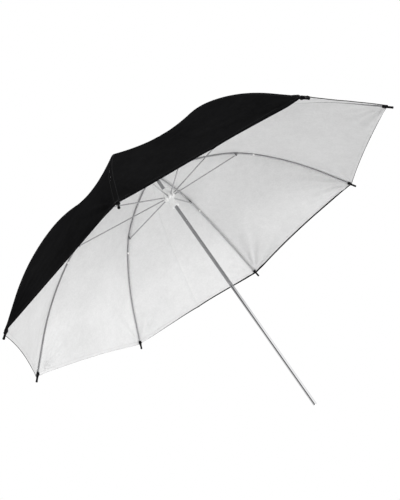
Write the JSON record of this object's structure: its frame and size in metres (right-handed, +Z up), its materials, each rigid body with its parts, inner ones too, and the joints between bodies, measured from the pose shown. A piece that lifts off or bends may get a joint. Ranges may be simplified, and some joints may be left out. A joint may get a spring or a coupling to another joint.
{
  "type": "umbrella reflector",
  "caption": "Folding photographic umbrella on a thin metal shaft, black outside and white reflective inside, on curved steel ribs.",
  "frame": {"origin": "centre of the shaft's lower end, the end that a lamp stand's bracket takes", "axes": "+Z up the shaft to the crown; ribs stand on the X and Y axes and the diagonals between them"},
  "size_m": [0.883, 0.883, 0.5686],
  "materials": {
    "shaft": "polished",
    "rib_steel": "dark plated",
    "bright_steel": "plain",
    "runner_plastic": "moulded",
    "black_plastic": "moulded",
    "canopy_cloth": "black outside, white reflective inside"
  },
  "bodies": {
    "frame": {"shaft": "shaft", "shaft_end_plug": "black_plastic", "stop_pin": "bright_steel", "notch_pin": "bright_steel", "top_notch": "runner_plastic", "notch_wire": "bright_steel", "crown_washer": "black_plastic", "crown_cap": "black_plastic"},
    "catch": {"catch_spring": "bright_steel"},
    "runner": {"runner": "runner_plastic", "runner_wire": "bright_steel"},
    "rib_1": {"rib_1": "rib_steel", "rib_tip_1": "black_plastic", "rib_clip_1": "rib_steel"},
    "stretcher_1": {"stretcher_1": "rib_steel"},
    "panel_1_left": {"canopy_1_left": "canopy_cloth"},
    "panel_1_right": {"canopy_1_right": "canopy_cloth"},
    "rib_2": {"rib_2": "rib_steel", "rib_tip_2": "black_plastic", "rib_clip_2": "rib_steel"},
    "stretcher_2": {"stretcher_2": "rib_steel"},
    "panel_2_left": {"canopy_2_left": "canopy_cloth"},
    "panel_2_right": {"canopy_2_right": "canopy_cloth"},
    "rib_3": {"rib_3": "rib_steel", "rib_tip_3": "black_plastic", "rib_clip_3": "rib_steel"},
    "stretcher_3": {"stretcher_3": "rib_steel"},
    "panel_3_left": {"canopy_3_left": "canopy_cloth"},
    "panel_3_right": {"canopy_3_right": "canopy_cloth"},
    "rib_4": {"rib_4": "rib_steel", "rib_tip_4": "black_plastic", "rib_clip_4": "rib_steel"},
    "stretcher_4": {"stretcher_4": "rib_steel"},
    "panel_4_left": {"canopy_4_left": "canopy_cloth"},
    "panel_4_right": {"canopy_4_right": "canopy_cloth"},
    "rib_5": {"rib_5": "rib_steel", "rib_tip_5": "black_plastic", "rib_clip_5": "rib_steel"},
    "stretcher_5": {"stretcher_5": "rib_steel"},
    "panel_5_left": {"canopy_5_left": "canopy_cloth"},
    "panel_5_right": {"canopy_5_right": "canopy_cloth"},
    "rib_6": {"rib_6": "rib_steel", "rib_tip_6": "black_plastic", "rib_clip_6": "rib_steel"},
    "stretcher_6": {"stretcher_6": "rib_steel"},
    "panel_6_left": {"canopy_6_left": "canopy_cloth"},
    "panel_6_right": {"canopy_6_right": "canopy_cloth"},
    "rib_7": {"rib_7": "rib_steel", "rib_tip_7": "black_plastic", "rib_clip_7": "rib_steel"},
    "stretcher_7": {"stretcher_7": "rib_steel"},
    "panel_7_left": {"canopy_7_left": "canopy_cloth"},
    "panel_7_right": {"canopy_7_right": "canopy_cloth"},
    "rib_8": {"rib_8": "rib_steel", "rib_tip_8": "black_plastic", "rib_clip_8": "rib_steel"},
    "stretcher_8": {"stretcher_8": "rib_steel"},
    "panel_8_left": {"canopy_8_left": "canopy_cloth"},
    "panel_8_right": {"canopy_8_right": "canopy_cloth"}
  },
  "joints": [
    {"name": "runner_slide", "type": "slide", "parent": "frame", "child": "runner", "axis": [0, 0, -1], "range_m": [0, 0.31959]},
    {"name": "rib_hinge_1", "type": "hinge", "parent": "frame", "child": "rib_1", "pos_m": [0, -0.0132, 0.5516], "axis": [1, 0, 0], "range_deg": [0, 64]},
    {"name": "stretcher_hinge_1", "type": "hinge", "parent": "rib_1", "child": "stretcher_1", "pos_m": [0, -0.21044, 0.5296], "axis": [-1, 0, 0], "range_deg": [0, 123.45]},
    {"name": "pleat_1_left", "type": "hinge", "parent": "rib_1", "child": "panel_1_left", "pos_m": [0.00263, -0.0132, 0.5516], "axis": [-0.8561, 0.4383, -0.2739], "range_deg": [0, 30.07], "deforming": ["canopy_1_left"]},
    {"name": "pleat_1_right", "type": "hinge", "parent": "rib_1", "child": "panel_1_right", "pos_m": [-0.00263, -0.0132, 0.5516], "axis": [-0.8561, -0.4383, 0.2739], "range_deg": [0, 30.07], "deforming": ["canopy_1_right"]},
    {"name": "rib_hinge_2", "type": "hinge", "parent": "frame", "child": "rib_2", "pos_m": [0.00933, -0.00933, 0.5516], "axis": [0.7071, 0.7071, 0], "range_deg": [0, 64]},
    {"name": "stretcher_hinge_2", "type": "hinge", "parent": "rib_2", "child": "stretcher_2", "pos_m": [0.1488, -0.1488, 0.5296], "axis": [-0.7071, -0.7071, 0], "range_deg": [0, 123.45]},
    {"name": "pleat_2_left", "type": "hinge", "parent": "rib_2", "child": "panel_2_left", "pos_m": [0.01119, -0.00748, 0.5516], "axis": [-0.9153, -0.2954, -0.2739], "range_deg": [0, 30.07], "deforming": ["canopy_2_left"]},
    {"name": "pleat_2_right", "type": "hinge", "parent": "rib_2", "child": "panel_2_right", "pos_m": [0.00748, -0.01119, 0.5516], "axis": [-0.2954, -0.9153, 0.2739], "range_deg": [0, 30.07], "deforming": ["canopy_2_right"]},
    {"name": "rib_hinge_3", "type": "hinge", "parent": "frame", "child": "rib_3", "pos_m": [0.0132, 0, 0.5516], "axis": [0, 1, 0], "range_deg": [0, 64]},
    {"name": "stretcher_hinge_3", "type": "hinge", "parent": "rib_3", "child": "stretcher_3", "pos_m": [0.21044, 0, 0.5296], "axis": [0, -1, 0], "range_deg": [0, 123.45]},
    {"name": "pleat_3_left", "type": "hinge", "parent": "rib_3", "child": "panel_3_left", "pos_m": [0.0132, 0.00263, 0.5516], "axis": [-0.4383, -0.8561, -0.2739], "range_deg": [0, 30.07], "deforming": ["canopy_3_left"]},
    {"name": "pleat_3_right", "type": "hinge", "parent": "rib_3", "child": "panel_3_right", "pos_m": [0.0132, -0.00263, 0.5516], "axis": [0.4383, -0.8561, 0.2739], "range_deg": [0, 30.07], "deforming": ["canopy_3_right"]},
    {"name": "rib_hinge_4", "type": "hinge", "parent": "frame", "child": "rib_4", "pos_m": [0.00933, 0.00933, 0.5516], "axis": [-0.7071, 0.7071, 0], "range_deg": [0, 64]},
    {"name": "stretcher_hinge_4", "type": "hinge", "parent": "rib_4", "child": "stretcher_4", "pos_m": [0.1488, 0.1488, 0.5296], "axis": [0.7071, -0.7071, 0], "range_deg": [0, 123.45]},
    {"name": "pleat_4_left", "type": "hinge", "parent": "rib_4", "child": "panel_4_left", "pos_m": [0.00748, 0.01119, 0.5516], "axis": [0.2954, -0.9153, -0.2739], "range_deg": [0, 30.07], "deforming": ["canopy_4_left"]},
    {"name": "pleat_4_right", "type": "hinge", "parent": "rib_4", "child": "panel_4_right", "pos_m": [0.01119, 0.00748, 0.5516], "axis": [0.9153, -0.2954, 0.2739], "range_deg": [0, 30.07], "deforming": ["canopy_4_right"]},
    {"name": "rib_hinge_5", "type": "hinge", "parent": "frame", "child": "rib_5", "pos_m": [0, 0.0132, 0.5516], "axis": [-1, 0, 0], "range_deg": [0, 64]},
    {"name": "stretcher_hinge_5", "type": "hinge", "parent": "rib_5", "child": "stretcher_5", "pos_m": [0, 0.21044, 0.5296], "axis": [1, 0, 0], "range_deg": [0, 123.45]},
    {"name": "pleat_5_left", "type": "hinge", "parent": "rib_5", "child": "panel_5_left", "pos_m": [-0.00263, 0.0132, 0.5516], "axis": [0.8561, -0.4383, -0.2739], "range_deg": [0, 30.07], "deforming": ["canopy_5_left"]},
    {"name": "pleat_5_right", "type": "hinge", "parent": "rib_5", "child": "panel_5_right", "pos_m": [0.00263, 0.0132, 0.5516], "axis": [0.8561, 0.4383, 0.2739], "range_deg": [0, 30.07], "deforming": ["canopy_5_right"]},
    {"name": "rib_hinge_6", "type": "hinge", "parent": "frame", "child": "rib_6", "pos_m": [-0.00933, 0.00933, 0.5516], "axis": [-0.7071, -0.7071, 0], "range_deg": [0, 64]},
    {"name": "stretcher_hinge_6", "type": "hinge", "parent": "rib_6", "child": "stretcher_6", "pos_m": [-0.1488, 0.1488, 0.5296], "axis": [0.7071, 0.7071, 0], "range_deg": [0, 123.45]},
    {"name": "pleat_6_left", "type": "hinge", "parent": "rib_6", "child": "panel_6_left", "pos_m": [-0.01119, 0.00748, 0.5516], "axis": [0.9153, 0.2954, -0.2739], "range_deg": [0, 30.07], "deforming": ["canopy_6_left"]},
    {"name": "pleat_6_right", "type": "hinge", "parent": "rib_6", "child": "panel_6_right", "pos_m": [-0.00748, 0.01119, 0.5516], "axis": [0.2954, 0.9153, 0.2739], "range_deg": [0, 30.07], "deforming": ["canopy_6_right"]},
    {"name": "rib_hinge_7", "type": "hinge", "parent": "frame", "child": "rib_7", "pos_m": [-0.0132, 0, 0.5516], "axis": [0, -1, 0], "range_deg": [0, 64]},
    {"name": "stretcher_hinge_7", "type": "hinge", "parent": "rib_7", "child": "stretcher_7", "pos_m": [-0.21044, 0, 0.5296], "axis": [0, 1, 0], "range_deg": [0, 123.45]},
    {"name": "pleat_7_left", "type": "hinge", "parent": "rib_7", "child": "panel_7_left", "pos_m": [-0.0132, -0.00263, 0.5516], "axis": [0.4383, 0.8561, -0.2739], "range_deg": [0, 30.07], "deforming": ["canopy_7_left"]},
    {"name": "pleat_7_right", "type": "hinge", "parent": "rib_7", "child": "panel_7_right", "pos_m": [-0.0132, 0.00263, 0.5516], "axis": [-0.4383, 0.8561, 0.2739], "range_deg": [0, 30.07], "deforming": ["canopy_7_right"]},
    {"name": "rib_hinge_8", "type": "hinge", "parent": "frame", "child": "rib_8", "pos_m": [-0.00933, -0.00933, 0.5516], "axis": [0.7071, -0.7071, 0], "range_deg": [0, 64]},
    {"name": "stretcher_hinge_8", "type": "hinge", "parent": "rib_8", "child": "stretcher_8", "pos_m": [-0.1488, -0.1488, 0.5296], "axis": [-0.7071, 0.7071, 0], "range_deg": [0, 123.45]},
    {"name": "pleat_8_left", "type": "hinge", "parent": "rib_8", "child": "panel_8_left", "pos_m": [-0.00748, -0.01119, 0.5516], "axis": [-0.2954, 0.9153, -0.2739], "range_deg": [0, 30.07], "deforming": ["canopy_8_left"]},
    {"name": "pleat_8_right", "type": "hinge", "parent": "rib_8", "child": "panel_8_right", "pos_m": [-0.01119, -0.00748, 0.5516], "axis": [-0.9153, 0.2954, 0.2739], "range_deg": [0, 30.07], "deforming": ["canopy_8_right"]},
    {"name": "catch_press", "type": "slide", "parent": "frame", "child": "catch", "axis": [0, -1, 0], "range_m": [0, 0.00235], "stiffness_N_per_m": 900, "deforming": ["catch_spring"]}
  ],
  "couplings": [
    {"joint": "rib_hinge_1", "follows": "runner_slide", "rad_per_m": 3.4951},
    {"joint": "stretcher_hinge_1", "follows": "runner_slide", "rad_per_m": 6.7413},
    {"joint": "pleat_1_left", "follows": "runner_slide", "rad_per_m": 1.6414},
    {"joint": "pleat_1_right", "follows": "runner_slide", "rad_per_m": 1.6414},
    {"joint": "rib_hinge_2", "follows": "runner_slide", "rad_per_m": 3.4951},
    {"joint": "stretcher_hinge_2", "follows": "runner_slide", "rad_per_m": 6.7413},
    {"joint": "pleat_2_left", "follows": "runner_slide", "rad_per_m": 1.6414},
    {"joint": "pleat_2_right", "follows": "runner_slide", "rad_per_m": 1.6414},
    {"joint": "rib_hinge_3", "follows": "runner_slide", "rad_per_m": 3.4951},
    {"joint": "stretcher_hinge_3", "follows": "runner_slide", "rad_per_m": 6.7413},
    {"joint": "pleat_3_left", "follows": "runner_slide", "rad_per_m": 1.6414},
    {"joint": "pleat_3_right", "follows": "runner_slide", "rad_per_m": 1.6414},
    {"joint": "rib_hinge_4", "follows": "runner_slide", "rad_per_m": 3.4951},
    {"joint": "stretcher_hinge_4", "follows": "runner_slide", "rad_per_m": 6.7413},
    {"joint": "pleat_4_left", "follows": "runner_slide", "rad_per_m": 1.6414},
    {"joint": "pleat_4_right", "follows": "runner_slide", "rad_per_m": 1.6414},
    {"joint": "rib_hinge_5", "follows": "runner_slide", "rad_per_m": 3.4951},
    {"joint": "stretcher_hinge_5", "follows": "runner_slide", "rad_per_m": 6.7413},
    {"joint": "pleat_5_left", "follows": "runner_slide", "rad_per_m": 1.6414},
    {"joint": "pleat_5_right", "follows": "runner_slide", "rad_per_m": 1.6414},
    {"joint": "rib_hinge_6", "follows": "runner_slide", "rad_per_m": 3.4951},
    {"joint": "stretcher_hinge_6", "follows": "runner_slide", "rad_per_m": 6.7413},
    {"joint": "pleat_6_left", "follows": "runner_slide", "rad_per_m": 1.6414},
    {"joint": "pleat_6_right", "follows": "runner_slide", "rad_per_m": 1.6414},
    {"joint": "rib_hinge_7", "follows": "runner_slide", "rad_per_m": 3.4951},
    {"joint": "stretcher_hinge_7", "follows": "runner_slide", "rad_per_m": 6.7413},
    {"joint": "pleat_7_left", "follows": "runner_slide", "rad_per_m": 1.6414},
    {"joint": "pleat_7_right", "follows": "runner_slide", "rad_per_m": 1.6414},
    {"joint": "rib_hinge_8", "follows": "runner_slide", "rad_per_m": 3.4951},
    {"joint": "stretcher_hinge_8", "follows": "runner_slide", "rad_per_m": 6.7413},
    {"joint": "pleat_8_left", "follows": "runner_slide", "rad_per_m": 1.6414},
    {"joint": "pleat_8_right", "follows": "runner_slide", "rad_per_m": 1.6414}
  ]
}
